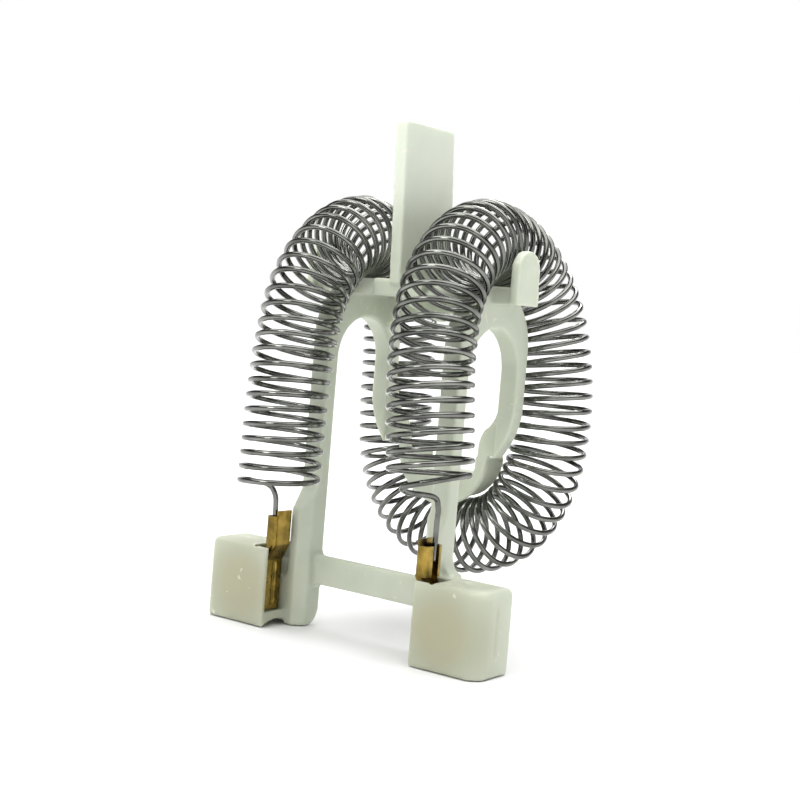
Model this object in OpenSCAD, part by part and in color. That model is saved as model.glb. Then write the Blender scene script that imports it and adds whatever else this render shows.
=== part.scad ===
// Shower heating element: one moulded nylon support, one long resistance coil
// that is looped through it, and two stamped blade terminals at its foot.
// X runs along the foot bar, Y to the back, Z up. The foot stands on Z = 0.

/* [Support] */
// Inner face of each side frame, from the middle plane
frame_in = 13.8; // [11:0.1:16]
// Thickness of each side frame along X
frame_t = 4.1; // [3:0.1:6]
// Front face of the front legs (behind the coil)
leg_front = -12.3; // [-14:0.1:-11]
// Back face of the front legs
leg_back = -8.7; // [-10:0.1:-7]
// Front face of the back arms
arm_front = 8.5; // [7:0.1:10]
// Back face of the back arms
arm_back = 12.1; // [10.5:0.1:12.4]
// Height of the centre of the outer arch
arch_z = 58.6; // [50:0.1:66]
// Height at which a leg steps forward under the coil
step_z = 23.5; // [20:0.1:25]
// How far the leg steps forward
step_out = 2.6; // [0:0.1:4]
// Height of the slope over the step
step_rise = 4.2; // [2:0.1:5]

/* [Shelf and tongue] */
// Thickness of the shelf
shelf_t = 3.3; // [2:0.1:5]
// Half depth of the shelf wings
wing_half = 3.6; // [2:0.1:6]
// Inner face of each hook, from the middle plane
hook_in = 23.7; // [23.5:0.1:28]
// Thickness of each hook
hook_t = 1.9; // [1.2:0.1:3]
// Height of each hook over the shelf top
hook_h = 7.0; // [4:0.1:12]
// Thickness of the tongue
tongue_t = 2.7; // [1.6:0.1:4]
// Height of the tongue tip
tongue_top = 101.4; // [90:0.5:115]

/* [Foot] */
// Height of each foot block
block_h = 16.1; // [14:0.1:18]
// Outer face of each foot block, from the middle plane
block_out = 33.1; // [28:0.1:38]
// Front face of the foot blocks
block_front = -21.5; // [-24:0.1:-21.3]
// Back face of the foot blocks
block_back = -10.8; // [-12:0.1:-9]
// Rounding of the outer front edge of the right block
block_round = 3.6; // [1.5:0.1:4.5]
// Rounding of the outer front edge of the left block
left_round = 1.8; // [1:0.1:4.5]
// Bottom of the foot bar
bar_z0 = 8.5; // [5:0.1:11]
// Top of the foot bar
bar_z1 = 14.3; // [12:0.1:18]

/* [Hub] */
// Height of the hub centre
hub_z = 36.3; // [34:0.1:38]
// Radius of the hub flange in front of the loop
flange_r = 10.9; // [10:0.1:12]
// Radius of the hub boss inside the loop
boss_r = 9.6; // [8:0.1:9.7]
// Back end of the hub boss
boss_back = 20; // [16:0.5:28]

/* [Coil] */
// Outer diameter of the coil
coil_d = 16.2; // [15.4:0.1:16.4]
// Diameter of the wire
wire_d = 1.1; // [0.7:0.05:1.3]
// Whole turns of the coil
coil_turns = 105; // [80:1:110]
// Steps in each turn of the wire
ring_steps = 11; // [10:1:16]

/* [Terminals] */
// Width of the blade receptacle
term_w = 5.6; // [5.2:0.1:5.8]
// Thickness of the blade receptacle
term_t = 2.3; // [1.8:0.1:2.5]
// Sheet thickness of the stamping
sheet = 0.4; // [0.3:0.05:0.5]
// Length of the receptacle
term_l = 10.4; // [9:0.1:11]
// Length of the crimp barrel
barrel_l = 5.8; // [5:0.1:7]

/* [Hidden] */

eps = 0.02;
// the whole object is set back, so that the middle of its box is over the origin
set_back = [0, 1.7, 0];
frame_out = frame_in + frame_t;
mid_y = (leg_front + arm_back) / 2;
arch_r = (arm_back - leg_front) / 2;
hole_r = (arm_front - leg_back) / 2;
hole_z = arch_z - 4.3;
shelf_z = arch_z + arch_r + 0.1;
step_front = leg_front - step_out;
bar_front = leg_back - 2.6;

// seats of the two terminals: X, Y and bottom Z
seat_z = 3.2;
left_seat = [-frame_out - 2.05, -17.8, seat_z];
right_seat = [frame_out + 2.05, -17.8, seat_z];
pocket_x = frame_out + 4.0;
pocket_y0 = -20.75;
pocket_y1 = step_front;
pocket_floor = 2.9;
// arch under each pocket: its radius and its height over the base
under_r = 8.24;
under_rise = 1.15;
foot_chamfer = 2.0;

// terminals: seam, flute, step of the neck, barrel section and strip tab
seam = 0.6;
flute_r = 0.95;
neck_h = 2.8;
barrel_x1 = 2.95;
barrel_t = 2.7;
barrel_w = 5.2;
// place of the wire in the barrel
wire_x = barrel_x1 - barrel_t + sheet + wire_d / 2 + 0.1;
wire_y = -1.15;
tab_w = 4.0;
tab_h = 1.1;

nylon = [0.84, 0.87, 0.81];
metal = [0.72, 0.72, 0.73];
brass = [0.80, 0.62, 0.30];

// Helpers
// a flat drawing in Y and Z, given a thickness along X and centred on it
module along_x(w) {
    rotate([90, 0, 90]) linear_extrude(w, center = true) children();
}

// a flat drawing in X and Z, given a thickness from y0 to y1
module along_y(y0, y1) {
    translate([0, y1, 0]) rotate([90, 0, 0]) linear_extrude(y1 - y0) children();
}

// Support
// inverted U in the Y-Z plane: front leg, arch and back arm
module side_profile() {
    difference() {
        union() {
            translate([mid_y, arch_z]) circle(arch_r, $fn = 72);
            translate([leg_front, 0]) square([arm_back - leg_front, arch_z]);
            polygon([
                [step_front, 0], [leg_front + 1, 0], [leg_front + 1, step_z + step_rise + 0.6],
                [leg_front, step_z + step_rise], [step_front, step_z]
            ]);
        }
        translate([mid_y, hole_z]) circle(hole_r, $fn = 56);
        translate([leg_back, -1]) square([2 * hole_r, hole_z + 1]);
        translate([arm_front - 1, -1]) square([arm_back, 37]);
        // soft lower back corner of the leg
        translate([leg_back - 3.2, -0.01]) difference() {
            square([4, 3.0]);
            translate([0, 3.0]) circle(3.0, $fn = 32);
        }
    }
}

// the right side frame; the arm narrows to a point beside the hub
module side_frame() {
    intersection() {
        translate([frame_in + frame_t / 2, 0, 0]) along_x(frame_t) side_profile();
        union() {
            translate([0, -30, -1]) cube([40, 33, 120]);
            along_y(0, 30) polygon([
                [frame_in, 90], [frame_out, 90], [frame_out, 46.4], [frame_out - 0.5, 43.6],
                [frame_out - 1.5, 40.9], [frame_out - 2.7, 38.7], [frame_out - 4.0, 36.8],
                [frame_in, 38.0]
            ]);
        }
    }
}

// S-shaped web from one arm down to the hub flange
module web_profile() {
    polygon([
        [frame_in + 0.4, 49.6], [frame_in - 0.8, 47.4], [frame_in - 1.5, 44.8],
        [11.2, 43.1], [9.9, 42.0], [9.1, 40.5], [8.8, 38.6], [8.6, 33.4],
        [8.0, 30.5], [flange_r - 0.15, hub_z], [flange_r + 0.3, 36.9], [frame_in + 0.3, 36.9],
        [frame_in + 1.2, 42.0]
    ]);
}

module hub() {
    difference() {
        union() {
            along_y(arm_front + 1.8, arm_back) {
                web_profile();
                mirror([1, 0]) web_profile();
                intersection() {
                    translate([0, hub_z]) circle(flange_r, $fn = 64);
                    translate([-20, hub_z - 20]) square([40, 20]);
                }
            }
            along_y(arm_back - eps, boss_back) intersection() {
                translate([0, hub_z]) circle(boss_r, $fn = 64);
                translate([-20, hub_z - 20]) square([40, 20]);
            }
        }
        // the open saddle in the top of the hub
        along_y(arm_front, boss_back + 1) translate([0, 32.4]) offset(1.6, $fn = 24)
            translate([-6.7, 1.6]) square([13.4, 20]);
    }
}

module shelf() {
    z0 = shelf_z - shelf_t;
    // wings that pass under the crest of the coil
    translate([-hook_in - 0.6, -wing_half, z0]) cube([2 * hook_in + 1.2, 2 * wing_half, shelf_t]);
    // deeper middle part between the side frames
    difference() {
        translate([-frame_in - 0.5, -9.85, z0]) cube([2 * frame_in + 1, 9.85 + 8, shelf_t]);
        // it falls away under the coil, to the front and to the back
        for (s = [-1, 1]) translate([s * (frame_in + 6.6) / 2, 0, 0]) along_x(frame_in - 5.3) {
            polygon([
                [-3.9, shelf_z + 1], [-3.9, shelf_z - 0.1], [-7, shelf_z - 1.6],
                [-10, shelf_z - 4], [-11, shelf_z - 4.8], [-11, shelf_z + 1]
            ]);
            polygon([
                [3.9, shelf_z + 1], [3.9, shelf_z - 0.1], [6, shelf_z - 0.9],
                [9, shelf_z - 2.3], [9, shelf_z + 1]
            ]);
        }
    }
    // short wall under the middle part, open below as a low arch
    along_y(6.2, 8.0) difference() {
        translate([-frame_in - 0.5, z0 - 6.2]) square([2 * frame_in + 1, 6.4]);
        translate([0, z0 - 30.5]) circle(28, $fn = 96);
    }
    // ribs that carry the tongue
    along_x(tongue_t) polygon([
        [-9.85, z0 + 1], [6.5, z0 + 1], [6.5, z0 - 4.5], [-3, z0 - 2], [-8.5, z0 - 0.2]
    ]);
}

// hook: plate with a round head at the outer end of a wing
module hook() {
    hw = 3.75;
    z0 = shelf_z - shelf_t;
    translate([hook_in + hook_t / 2, -2.85, 0]) along_x(hook_t) {
        translate([0, shelf_z + hook_h - hw]) circle(hw, $fn = 40);
        translate([-hw, z0]) square([2 * hw, shelf_t + hook_h - hw]);
    }
}

module tongue() {
    along_x(tongue_t) {
        offset(0.8, $fn = 24) offset(-0.8) polygon([
            [-10.9, shelf_z - 1], [-12.7, tongue_top], [3.9, tongue_top],
            [5.6, shelf_z + 14], [6.3, shelf_z - 1]
        ]);
        translate([-10.9, shelf_z - 1]) square([17.2, 2]);
    }
}

module block_outline(inset, round) {
    offset(-inset) offset(0.6, $fn = 24) offset(-0.6) difference() {
        translate([frame_out - 1.5, block_front])
            square([block_out - frame_out + 1.5, block_back - block_front]);
        translate([block_out - round, block_front]) difference() {
            translate([0, -1]) square(round + 1);
            translate([0, round]) circle(round, $fn = 48);
        }
    }
}

// right foot block: a pocket for the terminal opens to the middle and upwards
module block(round) {
    difference() {
        union() {
            hull() {
                linear_extrude(block_h - 1.2) block_outline(0, round);
                linear_extrude(block_h - 0.5) block_outline(0.3, round);
                linear_extrude(block_h - 0.12) block_outline(0.75, round);
                linear_extrude(block_h) block_outline(1.3, round);
            }
            // foot of the leg, in line with the frame
            translate([frame_in, step_front, 0])
                cube([frame_t, leg_back - 3.2 - step_front, block_h - 2]);
        }
        // pocket, with a lead-in on its back wall
        translate([frame_out, pocket_y0, pocket_floor])
            cube([pocket_x - frame_out, pocket_y1 - pocket_y0, block_h]);
        translate([frame_out, pocket_y1, block_h - 3.5]) rotate([45, 0, 0])
            translate([0, -2, -2]) cube([pocket_x - frame_out, 4, 4]);
        // everything in front of the leg and inside the block face
        translate([frame_in - 1, block_front - 1, -1])
            cube([frame_t + 1, step_front - block_front + 1, 40]);
        // slot for the blade
        translate([right_seat[0] - 0.8, right_seat[1] - 2.7, -1]) cube([1.6, 5.4, 6]);
        // shallow arch under the pocket
        translate([frame_in + 4.3, (block_front + leg_front) / 2, under_rise - under_r]) rotate([0, 90, 0])
            cylinder(h = 8.6, r = under_r, center = true, $fn = 72);
        // dished recess in the top
        translate([26.9, -15, block_h + 5.6]) scale([1, 0.62, 1]) sphere(6.2, $fn = 48);
        // crease on the outer side
        translate([block_out + 0.12, -16.2, 8.3]) cylinder(h = 9, r = 0.42, center = true, $fn = 16);
    }
    // fillet between leg and block top
    translate([frame_out, leg_front, block_h - 1.2]) rotate([90, 0, 0]) translate([0, 0, -3.3])
        linear_extrude(3.3) difference() {
            square([2.6, 3.4]);
            translate([2.9, 3.9]) circle(2.7, $fn = 40);
        }
}

module foot_bar() {
    translate([-frame_in - 0.5, bar_front, bar_z0])
        cube([2 * frame_in + 1, 2.6 - 0.3, bar_z1 - bar_z0]);
    for (s = [-1, 1]) scale([s, 1, 1]) translate([frame_in + eps, 0, 0]) along_y(bar_front, leg_back - 0.3)
        difference() {
            translate([-1.4, bar_z0 - 1.2]) square([1.4, bar_z1 - bar_z0 + 2.4]);
            translate([-1.4, bar_z0 - 1.4]) circle(1.4, $fn = 32);
            translate([-1.4, bar_z1 + 1.4]) circle(1.4, $fn = 32);
        }
}

module support_frame() {
    color(nylon) translate(set_back) {
        tongue();
        shelf();
        hub();
        foot_bar();
        for (s = [-1, 1]) scale([s, 1, 1]) {
            difference() {
                union() {
                    side_frame();
                    block(s < 0 ? left_round : block_round);
                }
                // chamfer down the inner front edge of the foot
                translate([frame_in, step_front, 0]) rotate([0, 0, 45])
                    cube([foot_chamfer * sqrt(2), 4 * foot_chamfer, 80], center = true);
            }
            hook();
        }
    }
}

// Coil
coil_r = coil_d / 2;
turn_r = coil_r - wire_d / 2;
// centre line of the coil: the arms stand in front of the legs, the crest rests on
// the shelf and the loop hangs round the hub
crest_z = shelf_z + coil_r + 0.6;
low_z = hub_z - boss_r - coil_r - 0.3;
front_y = leg_front - coil_r - 0.2;
back_y = arm_back + coil_r + 0.35;
loop_x = boss_r + coil_r + 2.0;
ctrl = [
    [-13.7, front_y - 3.9, 29.6],
    [-13.7, front_y - 3.6, 37],
    [-13.9, front_y - 3.1, 45.3],
    [-14.2, front_y - 1.7, arch_z - 2.9],
    [-14.6, -18.8, arch_z + 8.8],
    [-14.4, -11.9, crest_z - 3.6],
    [-15.6, -0.9, crest_z],
    [-18.2, 11.4, crest_z - 3.8],
    [-loop_x - 0.3, 18.8, arch_z + 8.2],
    [-loop_x - 0.6, back_y + 0.1, arch_z - 3],
    [-loop_x - 0.2, back_y, 43.6],
    [-loop_x + 1.6, back_y, 31.4],
    [-11.4, back_y, low_z + 3.6],
    [0, back_y, low_z],
    [11.1, back_y, low_z + 3.7],
    [loop_x - 1.9, back_y, 32.0],
    [loop_x - 0.1, back_y + 0.2, 43.8],
    [loop_x - 1.0, back_y + 0.3, arch_z - 3],
    [16.6, 19.0, arch_z + 7.9],
    [14.5, 12.0, crest_z - 3.9],
    [14.2, 0.7, crest_z],
    [15.4, -10.2, crest_z - 2.8],
    [16.4, -17.9, arch_z + 10],
    [18.2, front_y - 1.6, arch_z - 0.9],
    [19.9, front_y - 3.0, 46.7],
    [21.4, front_y - 3.6, 35.9]
];

function unit(v) = v / norm(v);
// smooth curve through the points of p, m steps per span
function curve_at(p, i, t) = let (
        n = len(p) - 1,
        a = i == 0 ? 2 * p[0] - p[1] : p[i - 1],
        b = p[i],
        c = p[i + 1],
        d = i + 2 > n ? 2 * p[n] - p[n - 1] : p[i + 2]
    ) b + 0.5 * t * ((c - a) + t * ((2 * a - 5 * b + 4 * c - d) + t * (3 * b - a - 3 * c + d)));
function curve(p, m) = [
    for (i = [0 : len(p) - 2]) for (k = [0 : m - 1]) curve_at(p, i, k / m),
    p[len(p) - 1]
];
function tangents(p) = [
    for (i = [0 : len(p) - 1]) unit(p[min(i + 1, len(p) - 1)] - p[max(i - 1, 0)])
];
// side vectors carried along the line without twist, from the first one v
function carried(t, v) = [
    for (i = 0, u = unit(v - (v * t[0]) * t[0]); i < len(t);
        i = i + 1, u = i < len(t) ? unit(u - (u * t[i]) * t[i]) : u) u
];
// distance run along the line at each of its points
function run_list(p) = [
    for (i = 0, s = 0; i < len(p); i = i + 1, s = i < len(p) ? s + norm(p[i] - p[i - 1]) : s) s
];
function table(s, p, k) = [for (i = [0 : len(s) - 1]) [s[i], p[i][k]]];

axis_pts = curve(ctrl, 14);
axis_tan = tangents(axis_pts);
axis_u = carried(axis_tan, [1, 0, 0]);
axis_s = run_list(axis_pts);
axis_len = axis_s[len(axis_s) - 1];
px = table(axis_s, axis_pts, 0);
py = table(axis_s, axis_pts, 1);
pz = table(axis_s, axis_pts, 2);
tx = table(axis_s, axis_tan, 0);
ty = table(axis_s, axis_tan, 1);
tz = table(axis_s, axis_tan, 2);
ux = table(axis_s, axis_u, 0);
uy = table(axis_s, axis_u, 1);
uz = table(axis_s, axis_u, 2);

// first and last angle of the helix about its own line
turn_0 = 215.8;
turn_1 = 144.2;
turn_all = (coil_turns - 1) * 360 + turn_1 - turn_0 + 360;
steps = round(turn_all / 360 * ring_steps);

function helix_frame(f) = let (
        s = f * axis_len,
        p = [lookup(s, px), lookup(s, py), lookup(s, pz)],
        t = unit([lookup(s, tx), lookup(s, ty), lookup(s, tz)]),
        v = [lookup(s, ux), lookup(s, uy), lookup(s, uz)],
        u = unit(v - (v * t) * t),
        w = cross(t, u),
        a = turn_0 + f * turn_all,
        r = cos(a) * u + sin(a) * w
    ) [p + turn_r * r, r];
helix = [for (i = [0 : steps]) helix_frame(i / steps)];

// tails: from the helix ends into the crimp barrels
tail_z = seat_z + term_l + neck_h + 2.5;
tail_x = right_seat[0] - wire_x;
left_y = left_seat[1] + wire_y;
right_y = right_seat[1] - wire_y;
pitch = axis_len / coil_turns;
// point beside the first ring, carried on backwards by the angle back
function before_start(back) = let (a = turn_0 - back)
    axis_pts[0] + turn_r * (cos(a) * axis_u[0] + sin(a) * cross(axis_tan[0], axis_u[0]))
    - axis_tan[0] * pitch * back / 360;
left_tail = curve([
    [-tail_x, left_y, tail_z],
    [-tail_x, left_y, tail_z + 5],
    [-tail_x - 0.3, left_y - 0.2, tail_z + 7.6],
    before_start(70) - [0, 0, 0.6],
    before_start(35)
], 4);
right_tail = curve([
    [24.4, front_y - 10, 35.2],
    [19.9, front_y - 9.4, 33.8],
    [18.5, front_y - 6, 32.5],
    [tail_x - 0.2, right_y - 1.6, 31.2],
    [tail_x, right_y, 29.2],
    [tail_x, right_y, 26],
    [tail_x, right_y, tail_z]
], 4);

wire_pts = concat(left_tail, [for (h = helix) h[0]], right_tail);
wire_tan = tangents(wire_pts);
n_left = len(left_tail);
// side vector of the wire: radial in the turns, carried out into the tails
left_side = carried([for (i = [n_left : -1 : 0]) wire_tan[i]], helix[0][1]);
right_side = carried(
    [for (i = [n_left + len(helix) - 1 : len(wire_pts) - 1]) wire_tan[i]], helix[len(helix) - 1][1]);
wire_side = concat(
    [for (i = [0 : n_left - 1]) left_side[n_left - i]],
    [for (i = [0 : len(helix) - 1]) let (t = wire_tan[n_left + i], v = helix[i][1]) unit(v - (v * t) * t)],
    [for (i = [1 : len(right_side) - 1]) right_side[i]]
);

module sweep_wire(pts, tan, side, r, sides) {
    n = len(pts);
    verts = [
        for (i = [0 : n - 1]) let (b = cross(tan[i], side[i]))
            for (k = [0 : sides - 1]) let (a = 360 * k / sides)
                pts[i] + r * (cos(a) * side[i] + sin(a) * b)
    ];
    faces = concat(
        [[for (k = [sides - 1 : -1 : 0]) k]],
        [for (i = [0 : n - 2]) for (k = [0 : sides - 1]) let (k2 = (k + 1) % sides)
            [i * sides + k, i * sides + k2, (i + 1) * sides + k]],
        [for (i = [0 : n - 2]) for (k = [0 : sides - 1]) let (k2 = (k + 1) % sides)
            [i * sides + k2, (i + 1) * sides + k2, (i + 1) * sides + k]],
        [[for (k = [0 : sides - 1]) (n - 1) * sides + k]]
    );
    polyhedron(verts, [for (f = faces) [for (j = [len(f) - 1 : -1 : 0]) f[j]]], convexity = 20);
}

module heating_coil() {
    color(metal) translate(set_back) sweep_wire(wire_pts, wire_tan, wire_side, wire_d / 2, 4);
}

// Terminals
// Blade receptacle with rolled sides, a neck that steps out and an open crimp barrel.
// The base plate is on +X, the seam and the open side of the barrel on -X.
module rounded_plate(x, y, r) {
    offset(r, $fn = 24) square([x - 2 * r, y - 2 * r], center = true);
}

module receptacle_section() {
    inner = [term_t - 2 * sheet, term_w - 2 * sheet];
    difference() {
        rounded_plate(term_t, term_w, 0.9);
        rounded_plate(inner[0], inner[1], 0.9 - sheet);
        translate([-term_t, -seam / 2]) square([term_t, seam]);
    }
    // the edges of the seam are turned in
    for (s = [-1, 1]) translate([-term_t / 2, s * (seam + sheet) / 2 - sheet / 2])
        square([sheet + 0.4, sheet]);
}

module barrel_section() {
    difference() {
        translate([barrel_x1 - barrel_t / 2, 0]) rounded_plate(barrel_t, barrel_w, 0.9);
        translate([barrel_x1 - barrel_t / 2, 0])
            rounded_plate(barrel_t - 2 * sheet, barrel_w - 2 * sheet, 0.9 - sheet);
        // open side
        translate([barrel_x1 - barrel_t - 1, -1.2]) square([1.7, 1.9]);
    }
}

module terminal() {
    ht = term_t / 2;
    bz = term_l + neck_h;
    flute_z0 = 1.4;
    flute_z1 = term_l - 1.4;
    difference() {
        union() {
            linear_extrude(term_l) receptacle_section();
            // inner side of the flute
            translate([ht - sheet, -0.75, flute_z0]) cube([0.25 * sheet, 1.5, flute_z1 - flute_z0]);
        }
        // flute down the base plate
        translate([ht + flute_r - 0.75 * sheet, 0, 0]) hull() for (z = [flute_z0, flute_z1])
            translate([0, 0, z]) sphere(flute_r, $fn = 24);
    }
    // neck: the base plate and its two edges step out to the barrel
    hull() {
        translate([ht - sheet, -term_w / 2 + 0.8, term_l - sheet]) cube([sheet, term_w - 1.6, sheet]);
        translate([barrel_x1 - sheet, -barrel_w / 2 + 0.8, bz]) cube([sheet, barrel_w - 1.6, sheet]);
    }
    for (s = [-1, 1]) hull() {
        translate([0, s * (term_w / 2 - sheet / 2) - sheet / 2, term_l - sheet]) cube([ht - 0.5, sheet, sheet]);
        translate([barrel_x1 - 1.6, s * (barrel_w / 2 - sheet / 2) - sheet / 2, bz]) cube([0.8, sheet, sheet]);
    }
    for (s = [-1, 1]) hull() {
        translate([ht - 0.55, s * (term_w / 2 - 0.5) - sheet / 2, term_l - sheet]) cube([0.4, sheet, sheet]);
        translate([barrel_x1 - 0.95, s * (barrel_w / 2 - 0.5) - sheet / 2, bz]) cube([0.8, sheet, sheet]);
    }
    // crimp barrel, and the strip tab over it
    translate([0, 0, bz]) linear_extrude(barrel_l) barrel_section();
    translate([barrel_x1 - sheet, -tab_w / 2, bz + barrel_l - eps]) cube([sheet, tab_w, tab_h]);
}

module left_terminal() {
    color(brass) translate(left_seat + set_back) terminal();
}

module right_terminal() {
    color(brass) translate(right_seat + set_back) rotate([0, 0, 180]) terminal();
}

support_frame();
heating_coil();
left_terminal();
right_terminal();
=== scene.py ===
# %% [markdown]
# # A shower heating element
# This lesson dresses the heating element of an electric shower: one pale nylon moulding that carries
# one long coil of bright resistance wire, and two brass blade terminals crimped to the coil's tails.
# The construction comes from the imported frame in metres. What is made here is what the eye needs on
# top of it: the round wire, the soft edges of a moulding, and the finish of nylon, wire and brass.

# %% The frame
import math

import bpy
import numpy as np
from mathutils import Matrix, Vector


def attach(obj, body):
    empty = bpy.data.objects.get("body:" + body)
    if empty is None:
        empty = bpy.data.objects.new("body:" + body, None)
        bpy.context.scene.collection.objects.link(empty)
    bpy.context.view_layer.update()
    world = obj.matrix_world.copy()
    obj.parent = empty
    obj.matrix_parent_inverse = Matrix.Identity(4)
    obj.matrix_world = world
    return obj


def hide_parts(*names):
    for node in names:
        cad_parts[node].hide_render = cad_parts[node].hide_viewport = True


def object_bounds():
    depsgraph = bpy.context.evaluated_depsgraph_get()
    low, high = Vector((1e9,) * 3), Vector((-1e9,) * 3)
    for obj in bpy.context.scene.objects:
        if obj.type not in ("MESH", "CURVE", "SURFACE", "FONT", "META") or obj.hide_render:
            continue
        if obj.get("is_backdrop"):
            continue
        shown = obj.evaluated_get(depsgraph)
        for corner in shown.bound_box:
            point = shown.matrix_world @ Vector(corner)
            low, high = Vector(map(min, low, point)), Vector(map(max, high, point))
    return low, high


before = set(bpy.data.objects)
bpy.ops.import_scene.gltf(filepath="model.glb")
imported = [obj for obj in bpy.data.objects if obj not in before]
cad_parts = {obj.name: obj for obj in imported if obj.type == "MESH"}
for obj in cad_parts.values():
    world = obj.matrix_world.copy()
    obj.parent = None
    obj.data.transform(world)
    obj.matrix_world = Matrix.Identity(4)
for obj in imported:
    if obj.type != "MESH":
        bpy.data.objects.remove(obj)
CAD_BOX = [list(corner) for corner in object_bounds()]
MM = 0.001
scene = bpy.context.scene
print("nodes:", sorted(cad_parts))
print("size in mm:", [round((b - a) / MM, 1) for a, b in zip(*CAD_BOX)])


# %% [markdown]
# ## The camera
# A product photograph of a part this small is taken from half a metre or less, so perspective shows:
# the near foot is larger than the far one. The camera's place, turn and lens were worked out from
# sizes on the part, such as the two feet, the tongue and the coil, and the slight roll is the
# photographer's. The picture is square, 800 by 800, and the lens follows from the focal length in
# picture points: lens = focal length * sensor width / picture width.

# %% Camera place and directions
CAMERA_AT = np.array([165.57, -233.2, 64.55]) * MM
TURN, TILT, ROLL = map(math.radians, (35.84, 3.51, 4.76))
FOCAL_PIXELS = 1430.94
PICTURE_PIXELS = 800
SENSOR_MM = 36.0


def camera_axes():
    """Right, up and back vectors: turned about Z, tilted down, then rolled about the line of sight."""
    right = np.array([math.cos(TURN), math.sin(TURN), 0])
    level = np.array([-math.sin(TURN), math.cos(TURN), 0])
    up = np.array([0, 0, 1.0])
    ahead = math.cos(TILT) * level - math.sin(TILT) * up
    above = math.sin(TILT) * level + math.cos(TILT) * up
    across = math.cos(ROLL) * right + math.sin(ROLL) * above
    top = -math.sin(ROLL) * right + math.cos(ROLL) * above
    return across, top, -ahead


def placed(across, top, back, at):
    """A 4 by 4 matrix whose columns are three unit vectors and a place in metres."""
    matrix = np.eye(4)
    matrix[:3, 0], matrix[:3, 1], matrix[:3, 2], matrix[:3, 3] = across, top, back, at
    return Matrix(matrix.tolist())


print("camera looks along", [round(float(-v), 3) for v in camera_axes()[2]])


# %% Camera
camera_data = bpy.data.cameras.new("camera")
camera_data.sensor_width = SENSOR_MM
camera_data.lens = FOCAL_PIXELS * SENSOR_MM / PICTURE_PIXELS
camera_data.clip_start, camera_data.clip_end = 0.01, 60
camera = bpy.data.objects.new("camera", camera_data)
scene.collection.objects.link(camera)
camera.matrix_world = placed(*camera_axes(), CAMERA_AT)
scene.camera = camera
print("lens:", round(camera_data.lens, 2), "mm, distance:",
      round(float(np.linalg.norm(CAMERA_AT)), 3), "m")


# %% [markdown]
# ## The coil's centre line
# On the bench the maker threads one long spring through the moulding: up in front of the left leg,
# over the shelf, down behind the arm, round under the hub, and back the same way on the right. A
# smooth curve through a few chosen places describes that route. It could be drawn by hand as a curve
# object, but places worked out from the support's own sizes stay right when a size changes: the
# coil rests on the shelf and hangs round the hub here as it does there. All sizes are in millimetres
# until a mesh is made.

# %% Sizes that the coil follows
FRAME_OUT, LEG_FRONT, ARM_BACK, ARCH_Z = 17.9, -12.3, 12.1, 58.6
SHELF_Z = ARCH_Z + (ARM_BACK - LEG_FRONT) / 2 + 0.1
HUB_Z, BOSS_R = 36.3, 9.6
COIL_D, WIRE_D, COIL_TURNS = 16.2, 1.1, 105
COIL_R = COIL_D / 2
TURN_R = COIL_R - WIRE_D / 2
print("turns:", COIL_TURNS, "of", COIL_D, "mm over a wire of", WIRE_D, "mm")


# %% Places on the route
FRONT_Y = LEG_FRONT - COIL_R - 0.2
BACK_Y = ARM_BACK + COIL_R + 0.35
CREST_Z = SHELF_Z + COIL_R + 0.6
LOW_Z = HUB_Z - BOSS_R - COIL_R - 0.3
LOOP_X = BOSS_R + COIL_R + 2.0

ROUTE = np.array([
    # up in front of the left leg, leaning forward at the bottom
    [-13.7, FRONT_Y - 3.9, 29.6], [-13.7, FRONT_Y - 3.6, 37], [-13.9, FRONT_Y - 3.1, 45.3],
    [-14.2, FRONT_Y - 1.7, ARCH_Z - 2.9],
    # over the shelf to the back
    [-14.6, -18.8, ARCH_Z + 8.8], [-14.4, -11.9, CREST_Z - 3.6], [-15.6, -0.9, CREST_Z],
    [-18.2, 11.4, CREST_Z - 3.8], [-LOOP_X - 0.3, 18.8, ARCH_Z + 8.2],
    # down behind the left arm
    [-LOOP_X - 0.6, BACK_Y + 0.1, ARCH_Z - 3], [-LOOP_X - 0.2, BACK_Y, 43.6],
    [-LOOP_X + 1.6, BACK_Y, 31.4],
    # round under the hub
    [-11.4, BACK_Y, LOW_Z + 3.6], [0, BACK_Y, LOW_Z], [11.1, BACK_Y, LOW_Z + 3.7],
    # up behind the right arm
    [LOOP_X - 1.9, BACK_Y, 32.0], [LOOP_X - 0.1, BACK_Y + 0.2, 43.8],
    [LOOP_X - 1.0, BACK_Y + 0.3, ARCH_Z - 3],
    # over the shelf to the front
    [16.6, 19.0, ARCH_Z + 7.9], [14.5, 12.0, CREST_Z - 3.9], [14.2, 0.7, CREST_Z],
    [15.4, -10.2, CREST_Z - 2.8], [16.4, -17.9, ARCH_Z + 10],
    # down in front of the right leg, leaning outwards
    [18.2, FRONT_Y - 1.6, ARCH_Z - 0.9], [19.9, FRONT_Y - 3.0, 46.7], [21.4, FRONT_Y - 3.6, 35.9],
])
print("the route has", len(ROUTE), "places; its crest is at", round(CREST_Z, 1), "mm")


# %% A smooth curve through the places
def smooth_curve(points, steps):
    """A cubic through all points: each span blends its ends and their neighbours, in powers of t."""
    first, last = 2 * points[0] - points[1], 2 * points[-1] - points[-2]
    p = np.vstack([first, points, last])
    t = (np.arange(steps) / steps)[None, :, None]
    a, b, c, d = (p[i:len(p) - 3 + i, None, :] for i in range(4))
    bend = (2 * a - 5 * b + 4 * c - d) + t * (3 * b - a - 3 * c + d)
    spans = b + 0.5 * t * ((c - a) + t * bend)
    return np.vstack([spans.reshape(-1, 3), points[-1:]])


def distance_along(points):
    """Running length of a polyline, from zero."""
    return np.concatenate([[0], np.cumsum(np.linalg.norm(np.diff(points, axis=0), axis=1))])


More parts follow.
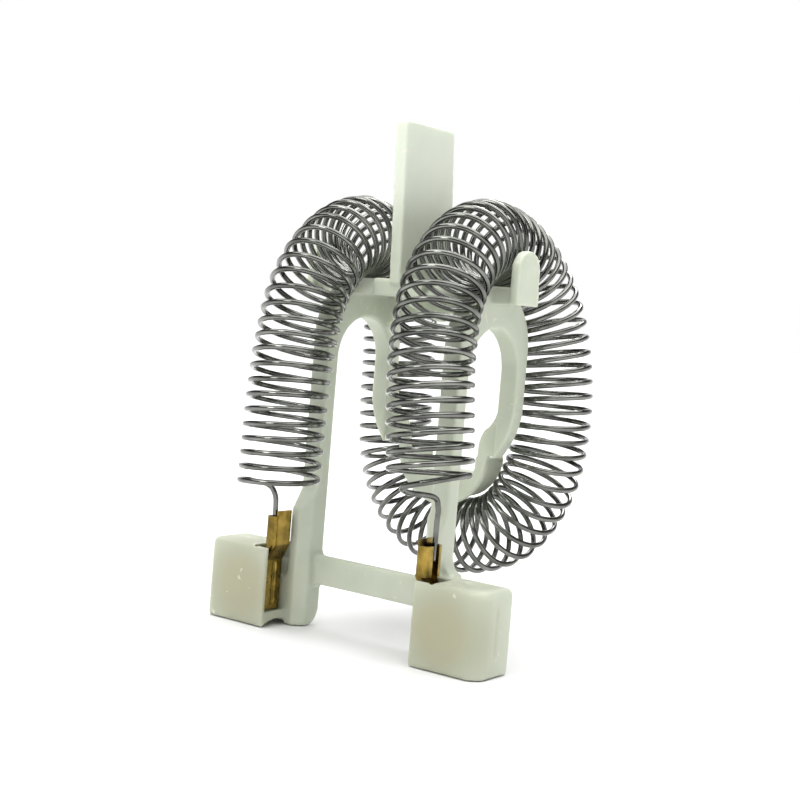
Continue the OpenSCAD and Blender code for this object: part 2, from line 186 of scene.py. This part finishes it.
STEPS_A_SPAN = 24
centre_line = smooth_curve(ROUTE, STEPS_A_SPAN)
along = distance_along(centre_line)
print("centre line:", len(centre_line), "points,", round(float(along[-1])), "mm long")


# %% [markdown]
# ## The round wire
# The spring is wound from wire a little over a millimetre thick, so each turn is a real round rod
# with a highlight that runs along it. A Curve modifier could bend a straight spring, but it would
# stretch the wire in the bends, and real wire keeps its thickness there. So the helix is worked out
# as the centre line plus a radius that turns steadily as it travels. The radius needs two side
# vectors that follow the line without twisting, or the turns would bunch up at the bends, so each
# side vector is carried on from the one before it. Forty-eight steps a turn keep each turn round.

# %% Side vectors along a line
def directions(points):
    """Unit tangents: each point's neighbours subtracted and scaled to length one."""
    steps = np.gradient(points, axis=0)
    return steps / np.linalg.norm(steps, axis=1, keepdims=True)


def carried_sides(tangents, side):
    """Side vectors without twist: each is the one before it, less its part along the new tangent."""
    sides = np.empty_like(tangents)
    for i, tangent in enumerate(tangents):
        side = side - np.dot(side, tangent) * tangent
        side = side / np.linalg.norm(side)
        sides[i] = side
    return sides


tangents = directions(centre_line)
side_u = carried_sides(tangents, np.array([1.0, 0, 0]))
side_w = np.cross(tangents, side_u)
print("side vectors start at", side_u[0].round(2), "and end at", side_u[-1].round(2))


# %% Helix
FIRST_ANGLE, LAST_ANGLE = 215.8, 144.2  # where the first and last ring turn off into their tails
STEPS_A_TURN = 48


def helix_points():
    """Points centre(s) + r (cos a u + sin a w), where a grows evenly with the distance s."""
    sweep = COIL_TURNS * 360 + LAST_ANGLE - FIRST_ANGLE
    count = round(sweep / 360 * STEPS_A_TURN)
    share = np.linspace(0, 1, count + 1)
    at = share * along[-1]
    centre, u, w = (np.stack([np.interp(at, along, line[:, k]) for k in range(3)], axis=1)
                    for line in (centre_line, side_u, side_w))
    angle = np.radians(FIRST_ANGLE + share * sweep)[:, None]
    return centre + TURN_R * (np.cos(angle) * u + np.sin(angle) * w)


def before_start(back):
    """The first ring carried on backwards by an angle: a = a0 - back, sunk by pitch * back / 360."""
    angle = math.radians(FIRST_ANGLE - back)
    ring = TURN_R * (math.cos(angle) * side_u[0] + math.sin(angle) * side_w[0])
    return centre_line[0] + ring - tangents[0] * along[-1] / COIL_TURNS * back / 360


helix = helix_points()
print("helix:", len(helix), "points, pitch", round(float(along[-1]) / COIL_TURNS, 2), "mm")


# %% [markdown]
# ## The tails
# Each end of the wire runs straight down into the crimp barrel of its terminal, so the tails start
# from the terminals' own sizes. The two terminals are one stamping. The right one is turned half
# round, which puts its barrel behind its middle instead of in front. On the left the last turn
# simply bends down. On the right the turn is pulled out across the leg and bent sharply. Both are
# the same kind of smooth curve as the route, because a stiff wire bends in soft curves too. The
# whole part was set back a little in the end, to keep its box centred, and the wire goes with it.

# %% Tails and the whole wire
TERMINAL_X, TERMINAL_Y, TERMINAL_Z = FRAME_OUT + 2.05, -17.8, 3.2
RECEPTACLE_L, NECK_L, INTO_BARREL = 10.4, 2.8, 2.5
BARREL_ASIDE, BARREL_OFF = 1.3, 1.15  # across and through, from the terminal's middle
TAIL_STEPS = 12
TAIL_X = TERMINAL_X - BARREL_ASIDE
LEFT_Y, RIGHT_Y = TERMINAL_Y - BARREL_OFF, TERMINAL_Y + BARREL_OFF
TAIL_Z = TERMINAL_Z + RECEPTACLE_L + NECK_L + INTO_BARREL
SET_BACK = np.array([0, 1.7, 0])

left_tail = smooth_curve(np.array([
    [-TAIL_X, LEFT_Y, TAIL_Z], [-TAIL_X, LEFT_Y, TAIL_Z + 5],
    [-TAIL_X - 0.3, LEFT_Y - 0.2, TAIL_Z + 7.6],
    before_start(70) - [0, 0, 0.6], before_start(35),
]), TAIL_STEPS)
right_tail = smooth_curve(np.array([
    [24.4, FRONT_Y - 10, 35.2], [19.9, FRONT_Y - 9.4, 33.8], [18.5, FRONT_Y - 6, 32.5],
    [TAIL_X - 0.2, RIGHT_Y - 1.6, 31.2], [TAIL_X, RIGHT_Y, 29.2], [TAIL_X, RIGHT_Y, 26],
    [TAIL_X, RIGHT_Y, TAIL_Z],
]), TAIL_STEPS)
wire_line = np.vstack([left_tail, helix, right_tail]) + SET_BACK
wire_along = distance_along(wire_line)
print("wire:", len(wire_line), "points,", round(float(wire_along[-1]) / 1000, 2), "m long")


# %% [markdown]
# ## Wire mesh
# The rod is a circle carried along the wire's line. A curve with a bevel would give the same rod; the
# arrays are chosen because they also give it a map of its own, with the length in millimetres one
# way and the share of the way round the other, and the marks of drawing follow the wire. Ten sides
# with smooth shading are enough for a rod this thin.

# %% A rod along a line
WIRE_SIDES = 10


def rod_mesh(name, points):
    """A closed rod from points[rings, sides, 3]: quads join each ring to the next, two caps shut it."""
    rings, sides = points.shape[:2]
    ring = np.arange(rings - 1)[:, None] * sides
    side = np.arange(sides)[None, :]
    after = (side + 1) % sides
    quads = np.stack([ring + side, ring + after, ring + sides + after, ring + sides + side], axis=-1)
    start = list(range(sides))[::-1]
    end = list(range((rings - 1) * sides, rings * sides))
    mesh = bpy.data.meshes.new(name)
    mesh.from_pydata(points.reshape(-1, 3), [], quads.reshape(-1, 4).tolist() + [start, end])
    return mesh


def smooth_shade(mesh):
    """Marks every face as smooth, through one array."""
    mesh.polygons.foreach_set("use_smooth", np.ones(len(mesh.polygons), dtype=bool))
    mesh.update()


def wire_points(line, radius, sides):
    """Rings of point + radius (cos b n + sin b m), with n and m carried along the line."""
    forward = directions(line)
    n = carried_sides(forward, np.array([0.3, 1.0, 0.1]))
    m = np.cross(forward, n)
    b = np.linspace(0, 2 * math.pi, sides, endpoint=False)[None, :, None]
    return line[:, None, :] + radius * (np.cos(b) * n[:, None, :] + np.sin(b) * m[:, None, :])


wire_mesh = rod_mesh("coil_wire", wire_points(wire_line, WIRE_D / 2, WIRE_SIDES) * MM)
smooth_shade(wire_mesh)
print("coil_wire:", len(wire_mesh.polygons), "faces")


# %% The wire's own map and its place in the frame
corner_of = np.empty(len(wire_mesh.loops), dtype=np.int64)
wire_mesh.loops.foreach_get("vertex_index", corner_of)
wire_map = np.stack([wire_along[corner_of // WIRE_SIDES], corner_of % WIRE_SIDES / WIRE_SIDES], axis=1)
wire_mesh.uv_layers.new(name="wire").data.foreach_set("uv", wire_map.ravel())

coil_wire = bpy.data.objects.new("coil_wire", wire_mesh)
scene.collection.objects.link(coil_wire)
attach(coil_wire, "root")
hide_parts("heating_coil")
print("the map runs to", round(float(wire_map[:, 0].max())), "mm")


# %% [markdown]
# ## The moulding
# Nothing that comes out of a mould has a knife edge: every corner of the support is rounded by a few
# tenths of a millimetre, and that thin bright line along each edge is what tells the eye that it is
# plastic. A Bevel modifier is the usual way, but it often fails where many thin triangles of a CAD
# solid meet at one corner. Instead the solid is copied, rebuilt as an even skin of small cells and
# relaxed a little, which rounds each corner by about the size of a cell and leaves every flat face
# where it was. The remesher reads its cell size in scene units and is slow with tiny ones, so it
# works on a copy enlarged to millimetres.

# %% Soft-edged support
SKIN_CELL_MM = 0.36
WELD_MM = 0.002
RELAX_ROUNDS = 3


def soft_copy(node, name):
    """A copy of a CAD node: doubles merged, remeshed in even cells, then relaxed a few times."""
    copy = bpy.data.objects.new(name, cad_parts[node].data.copy())
    copy.data.transform(Matrix.Scale(1 / MM, 4))
    scene.collection.objects.link(copy)
    weld = copy.modifiers.new("weld", "WELD")
    weld.merge_threshold = WELD_MM
    remesh = copy.modifiers.new("skin", "REMESH")
    remesh.mode = "VOXEL"
    remesh.voxel_size = SKIN_CELL_MM
    relax = copy.modifiers.new("relax", "SMOOTH")
    relax.factor = 0.5
    relax.iterations = RELAX_ROUNDS
    graph = bpy.context.evaluated_depsgraph_get()
    mesh = bpy.data.meshes.new_from_object(copy.evaluated_get(graph))
    mesh.transform(Matrix.Scale(MM, 4))
    copy.modifiers.clear()
    old, copy.data = copy.data, mesh
    bpy.data.meshes.remove(old)
    return copy


support = soft_copy("support_frame", "support_moulding")
smooth_shade(support.data)
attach(support, "root")
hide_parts("support_frame")
print("support_moulding:", len(support.data.polygons), "faces")


# %% [markdown]
# ## Colours and shader nodes
# Colours are read off the real thing as sRGB hex values, and Blender's shaders want linear light, so
# one function turns the one into the other. A second one adds a shader node, sets its values and
# links its inputs, which keeps each material short enough to read as a recipe. Wherever it is given
# a hex colour, it turns it to linear light. A colour Mix node has its factor in socket 0, its two
# colours in sockets 6 and 7, and its result in output 2.

# %% Colour and node helpers
def linear(hex_colour):
    """A linear RGBA colour from sRGB hex: c / 12.92 below 0.04045, else ((c + 0.055) / 1.055) ^ 2.4."""
    code = hex_colour.lstrip("#")
    parts = [int(code[i:i + 2], 16) / 255 for i in (0, 2, 4)]
    return [c / 12.92 if c <= 0.04045 else ((c + 0.055) / 1.055) ** 2.4 for c in parts] + [1.0]


def add(tree, kind, values=None, links=None, stops=(), **settings):
    """Adds a node: settings are attributes, values and links fill sockets, stops a colour ramp."""
    node = tree.nodes.new(kind)
    for name, setting in settings.items():
        setattr(node, name, setting)
    for socket, value in (values or {}).items():
        node.inputs[socket].default_value = linear(value) if isinstance(value, str) else value
    for socket, source in (links or {}).items():
        tree.links.new(source, node.inputs[socket])
    for i, (position, colour) in enumerate(stops):
        elements = node.color_ramp.elements
        element = elements[i] if i < len(elements) else elements.new(position)
        element.position, element.color = position, linear(colour)
    return node


def empty_tree(owner):
    """The bare node tree of a new material or world."""
    owner.use_nodes = True
    owner.node_tree.nodes.clear()
    return owner.node_tree


def per_mm(size_mm):
    """The noise scale, in cycles a metre, of a pattern whose features are size_mm across."""
    return 1 / (size_mm * MM)


print("pale nylon is", [round(c, 3) for c in linear("#BEC4B3")[:3]], "in linear light")


# %% [markdown]
# ## Nylon
# The support is natural polyamide, injection moulded and left undyed. It is a pale grey green, a
# little milky, because light goes a millimetre or two into it before it comes back, so subsurface
# scattering does as much here as colour. One flat colour would look like painted card, so the tint
# drifts: the melt's flow leaves faint clouds a centimetre across. The skin is satin with a very fine
# grain. The real grain is a few hundredths of a millimetre, too fine to show, so it is drawn half a
# millimetre wide.

# %% Nylon: clouds, grain and gloss
nylon = bpy.data.materials.new("natural_nylon")
tree = empty_tree(nylon)
place = add(tree, "ShaderNodeTexCoord").outputs["Object"]
clouds = add(tree, "ShaderNodeTexNoise", {"Scale": per_mm(11), "Detail": 3.0, "Roughness": 0.55},
             {"Vector": place})
tint = add(tree, "ShaderNodeValToRGB", links={"Fac": clouds.outputs["Fac"]},
           stops=[(0.3, "#B8BEAD"), (0.5, "#BEC4B3"), (0.72, "#C5CABA")])
grain = add(tree, "ShaderNodeTexNoise", {"Scale": per_mm(0.5), "Detail": 4.0}, {"Vector": place})
waves = add(tree, "ShaderNodeTexNoise", {"Scale": per_mm(4), "Detail": 2.0}, {"Vector": place})
height = add(tree, "ShaderNodeMath", {1: 0.12}, {0: grain.outputs["Fac"], 2: waves.outputs["Fac"]},
             operation="MULTIPLY_ADD")
relief = add(tree, "ShaderNodeBump", {"Strength": 0.35, "Distance": 0.12 * MM},
             {"Height": height.outputs[0]})
gloss = add(tree, "ShaderNodeMapRange", {"To Min": 0.36, "To Max": 0.52},
            {"Value": waves.outputs["Fac"]})
print("nylon skin:", len(tree.nodes), "nodes")


# %% [markdown]
# The tint holds painted shade and painted light, standing in for how light goes into thick and thin
# nylon: it is painted darker and warmer towards the heart of each foot block and painted lighter
# towards the top of the tongue. The distance from the heart is measured with X folded over the
# middle plane, so one centre serves both blocks.

# %% Nylon: painted shade in the blocks, painted light on the tongue
BLOCK_HEART = (24.5 * MM, -18.5 * MM, 7.5 * MM)

split = add(tree, "ShaderNodeSeparateXYZ", links={"Vector": place})
mirror = add(tree, "ShaderNodeMath", links={0: split.outputs["X"]}, operation="ABSOLUTE")
folded = add(tree, "ShaderNodeCombineXYZ",
             links={"X": mirror.outputs[0], "Y": split.outputs["Y"], "Z": split.outputs["Z"]})
heart = add(tree, "ShaderNodeVectorMath", {1: BLOCK_HEART}, {0: folded.outputs["Vector"]},
            operation="DISTANCE")
# Painted shade: a darker colour mixed in towards the heart of each foot block.
thick = add(tree, "ShaderNodeMapRange",
            {"From Min": 6 * MM, "From Max": 14 * MM, "To Min": 1.0, "To Max": 0.0},
            {"Value": heart.outputs["Value"]}, interpolation_type="SMOOTHSTEP")
foot = add(tree, "ShaderNodeMix", {7: "#A6A892"},
           {0: thick.outputs["Result"], 6: tint.outputs["Color"]}, data_type="RGBA")
# Painted shade: a warmer, darker colour mixed in close to the heart of each foot block.
warm_shade_mask = add(tree, "ShaderNodeMapRange",
             {"From Min": 3 * MM, "From Max": 8 * MM, "To Min": 0.6, "To Max": 0.0},
             {"Value": heart.outputs["Value"]}, interpolation_type="SMOOTHSTEP")
warm = add(tree, "ShaderNodeMix", {7: "#9F997B"}, {0: warm_shade_mask.outputs["Result"], 6: foot.outputs[2]},
           data_type="RGBA")
# Painted light: a paler colour mixed in towards the top of the tongue.
thin = add(tree, "ShaderNodeMapRange", {"From Min": 78 * MM, "From Max": 90 * MM, "To Max": 0.5},
           {"Value": split.outputs["Z"]}, interpolation_type="SMOOTHSTEP")
clear = add(tree, "ShaderNodeMix", {7: "#E4EADD"}, {0: thin.outputs["Result"], 6: warm.outputs[2]},
            data_type="RGBA")
print("nylon with thick and thin places:", len(tree.nodes), "nodes")


# %% [markdown]
# A few small pale flecks are cold drops of melt that the flow carried into the mould. They are the
# rare peaks of a swirled noise. With them the nylon is complete, and its light goes in furthest in
# the green, as it does in the real plastic.

# %% Nylon: flecks and the finished plastic
marks = add(tree, "ShaderNodeTexNoise", {"Scale": per_mm(3.4), "Detail": 1.0, "Distortion": 1.6},
            {"Vector": place})
fleck = add(tree, "ShaderNodeMapRange", {"From Min": 0.72, "From Max": 0.78, "To Max": 0.45},
            {"Value": marks.outputs["Fac"]})
skin = add(tree, "ShaderNodeMix", {7: "#E2E0D0"}, {0: fleck.outputs["Result"], 6: clear.outputs[2]},
           data_type="RGBA")
plastic = add(tree, "ShaderNodeBsdfPrincipled",
              {"IOR": 1.53, "Subsurface Weight": 0.55, "Subsurface Radius": (1.0, 1.05, 0.8),
               "Subsurface Scale": 1.6 * MM},
              {"Base Color": skin.outputs[2], "Roughness": gloss.outputs["Result"],
               "Normal": relief.outputs["Normal"]})
add(tree, "ShaderNodeOutputMaterial", links={"Surface": plastic.outputs["BSDF"]})
support.data.materials.clear()
support.data.materials.append(nylon)
print("nylon:", len(tree.nodes), "nodes")


# %% [markdown]
# ## Resistance wire
# The wire is a nickel and chromium alloy, drawn bright through a die. Drawing leaves long fine lines
# along the wire, so the pattern is read from the wire's own map; on Object coordinates the lines
# would cut straight through the turns. The real lines are finer than a hair, so they are drawn about
# a third of a millimetre wide and eight long. It is a clean metal with a small spread of gloss and
# almost no colour, and its bright and dark bands come from the room that it mirrors.

# %% Wire material
LINES_A_MM, LINES_ROUND = 0.12, 10.0

wire_metal = bpy.data.materials.new("drawn_resistance_wire")
tree = empty_tree(wire_metal)
wire_place = add(tree, "ShaderNodeUVMap", uv_map="wire").outputs["UV"]
stretch = add(tree, "ShaderNodeMapping", {"Scale": (LINES_A_MM, LINES_ROUND, 1.0)},
              {"Vector": wire_place})
lines = add(tree, "ShaderNodeTexNoise", {"Scale": 1.0, "Detail": 3.0},
            {"Vector": stretch.outputs["Vector"]})
place = add(tree, "ShaderNodeTexCoord").outputs["Object"]
patches = add(tree, "ShaderNodeTexNoise", {"Scale": per_mm(6), "Detail": 2.0}, {"Vector": place})
tone = add(tree, "ShaderNodeValToRGB", links={"Fac": patches.outputs["Fac"]},
           stops=[(0.3, "#545551"), (0.7, "#848580")])
gloss = add(tree, "ShaderNodeMapRange", {"To Min": 0.08, "To Max": 0.2},
            {"Value": lines.outputs["Fac"]})
relief = add(tree, "ShaderNodeBump", {"Strength": 0.06, "Distance": 0.02 * MM},
             {"Height": lines.outputs["Fac"]})
metal = add(tree, "ShaderNodeBsdfPrincipled", {"Metallic": 1.0},
            {"Base Color": tone.outputs["Color"], "Roughness": gloss.outputs["Result"],
             "Normal": relief.outputs["Normal"]})
add(tree, "ShaderNodeOutputMaterial", links={"Surface": metal.outputs["BSDF"]})
coil_wire.data.materials.append(wire_metal)
print("wire:", len(tree.nodes), "nodes")


# %% [markdown]
# ## Brass
# The terminals are stamped from thin brass sheet and folded in a press tool. New brass is a warm
# yellow; handling and the heat of use brown it in soft patches, and a ramp from brown to yellow
# over a soft noise gives just that. The rolls of the strip leave fine lines along the terminal, made
# by stretching a noise. They are drawn 0.15 mm apart, which is coarser than the real ones. Both
# patterns are kept small, because the whole terminal is only twenty millimetres long.

# %% Brass material
brass = bpy.data.materials.new("stamped_brass")
tree = empty_tree(brass)
place = add(tree, "ShaderNodeTexCoord").outputs["Object"]
patches = add(tree, "ShaderNodeTexNoise", {"Scale": per_mm(3), "Detail": 3.0}, {"Vector": place})
tone = add(tree, "ShaderNodeValToRGB", links={"Fac": patches.outputs["Fac"]},
           stops=[(0.28, "#544623"), (0.5, "#7F6B31"), (0.7, "#A68B44")])
stretch = add(tree, "ShaderNodeMapping", {"Scale": (1.0, 1.0, 0.06)}, {"Vector": place})
rolled = add(tree, "ShaderNodeTexNoise", {"Scale": per_mm(0.15), "Detail": 2.0},
             {"Vector": stretch.outputs["Vector"]})
gloss = add(tree, "ShaderNodeMapRange", {"To Min": 0.2, "To Max": 0.36},
            {"Value": patches.outputs["Fac"]})
relief = add(tree, "ShaderNodeBump", {"Strength": 0.15, "Distance": 0.03 * MM},
             {"Height": rolled.outputs["Fac"]})
metal = add(tree, "ShaderNodeBsdfPrincipled", {"Metallic": 1.0},
            {"Base Color": tone.outputs["Color"], "Roughness": gloss.outputs["Result"],
             "Normal": relief.outputs["Normal"]})
add(tree, "ShaderNodeOutputMaterial", links={"Surface": metal.outputs["BSDF"]})
for name in ("left_terminal", "right_terminal"):
    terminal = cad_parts[name]
    terminal.data.materials.clear()
    terminal.data.materials.append(brass)
print("brass on 2 terminals:", len(tree.nodes), "nodes")


# %% [markdown]
# ## Floor and light
# The photograph was taken on white, with broad soft light from above. A pale floor runs out to a
# pale sky, so there is no horizon. Bright wire needs something dark to mirror, or it would vanish
# into the white. The sky therefore has a grey belt between its white edge and its bright top, and
# over the photographer's side it is nearly black, like the unlit half of a studio. A wide overhead
# lamp draws the bright line along the top of every turn, and three weak ones soften the shadows.

# %% Floor
FLOOR_REACH = 8.0
FLOOR_Z = -0.0002  # a hair below the feet, so that the two surfaces don't fight

floor_mesh = bpy.data.meshes.new("floor")
corners = [(-1, -1), (1, -1), (1, 1), (-1, 1)]
floor_mesh.from_pydata([(x * FLOOR_REACH, y * FLOOR_REACH, 0) for x, y in corners], [], [(0, 1, 2, 3)])
floor = bpy.data.objects.new("floor", floor_mesh)
scene.collection.objects.link(floor)
floor.location.z = FLOOR_Z
paper = bpy.data.materials.new("white_paper")
tree = empty_tree(paper)
matt = add(tree, "ShaderNodeBsdfPrincipled", {"Base Color": "#E6E6E6", "Roughness": 0.9})
add(tree, "ShaderNodeOutputMaterial", links={"Surface": matt.outputs["BSDF"]})
floor.data.materials.append(paper)
floor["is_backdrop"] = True
print("floor:", 2 * FLOOR_REACH, "m wide")


# %% [markdown]
# The sky is painted by direction. The height of a direction, from 0 at the horizon to 1 overhead,
# picks its place on the belt. How far it points to the photographer's side is a dot product, and
# that darkness begins only above the edge that a picture from behind would show.

# %% Sky
PHOTOGRAPHER_SIDE = (0.39, -0.92, 0.0)

world = bpy.data.worlds.new("studio")
scene.world = world
tree = empty_tree(world)
look = add(tree, "ShaderNodeTexCoord").outputs["Generated"]
split = add(tree, "ShaderNodeSeparateXYZ", links={"Vector": look})
belt = add(tree, "ShaderNodeValToRGB", links={"Fac": split.outputs["Z"]},
           stops=[(0.0, "#FFFFFF"), (0.26, "#FFFFFF"), (0.36, "#5C5C5D"), (0.64, "#5C5C5D"),
                  (0.78, "#F2F2F2")])
facing = add(tree, "ShaderNodeVectorMath", {1: PHOTOGRAPHER_SIDE}, {0: look}, operation="DOT_PRODUCT")
room = add(tree, "ShaderNodeMapRange", {"From Min": 0.35, "From Max": 0.7},
           {"Value": facing.outputs["Value"]})
rise = add(tree, "ShaderNodeMapRange", {"From Min": 0.22, "From Max": 0.28},
           {"Value": split.outputs["Z"]})
dark = add(tree, "ShaderNodeMath", links={0: room.outputs["Result"], 1: rise.outputs["Result"]},
           operation="MULTIPLY")
around = add(tree, "ShaderNodeMix", {7: "#080908"}, {0: dark.outputs[0], 6: belt.outputs["Color"]},
             data_type="RGBA")
back = add(tree, "ShaderNodeBackground", {"Strength": 1.0}, {"Color": around.outputs[2]})
add(tree, "ShaderNodeOutputWorld", links={"Surface": back.outputs["Background"]})
print("sky:", len(tree.nodes), "nodes")


# %% Lamps
PART_MIDDLE = np.array([0, 0, 0.05])


def softbox(name, at, size, power):
    """A square area lamp at a place in metres, turned to face the middle of the part."""
    data = bpy.data.lights.new(name, "AREA")
    data.shape = "SQUARE"
    data.size = size
    data.energy = power
    lamp = bpy.data.objects.new(name, data)
    scene.collection.objects.link(lamp)
    back_way = np.array(at) - PART_MIDDLE
    back_way = back_way / np.linalg.norm(back_way)
    side = np.cross([0, 0, 1.0], back_way)
    side = side / np.linalg.norm(side)
    lamp.matrix_world = placed(side, np.cross(back_way, side), back_way, at)


softbox("key", (-0.15, -0.85, 0.65), 0.3, 3)
softbox("fill", (0.8, -0.5, 0.55), 0.35, 0.4)
softbox("rim", (-0.3, 0.7, 0.7), 0.3, 3)
overhead = bpy.data.objects.new("overhead", bpy.data.lights.new("overhead", "SUN"))
overhead.data.energy = 3.7
overhead.data.angle = math.radians(90)
scene.collection.objects.link(overhead)
scene.view_settings.view_transform = "Standard"
print("lamps:", len(bpy.data.lights))


# %% [markdown]
# ## Finish
# Dressing must not change a part's size. The last cell compares the dressed part's box with the CAD
# box and keeps both.

# %% Boxes and finish
NEW_BOX = [list(corner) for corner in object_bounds()]
growth = [round((b - a) / MM, 2) for a, b in zip(sum(CAD_BOX, []), sum(NEW_BOX, []))]
print("grown by, in mm:", growth)
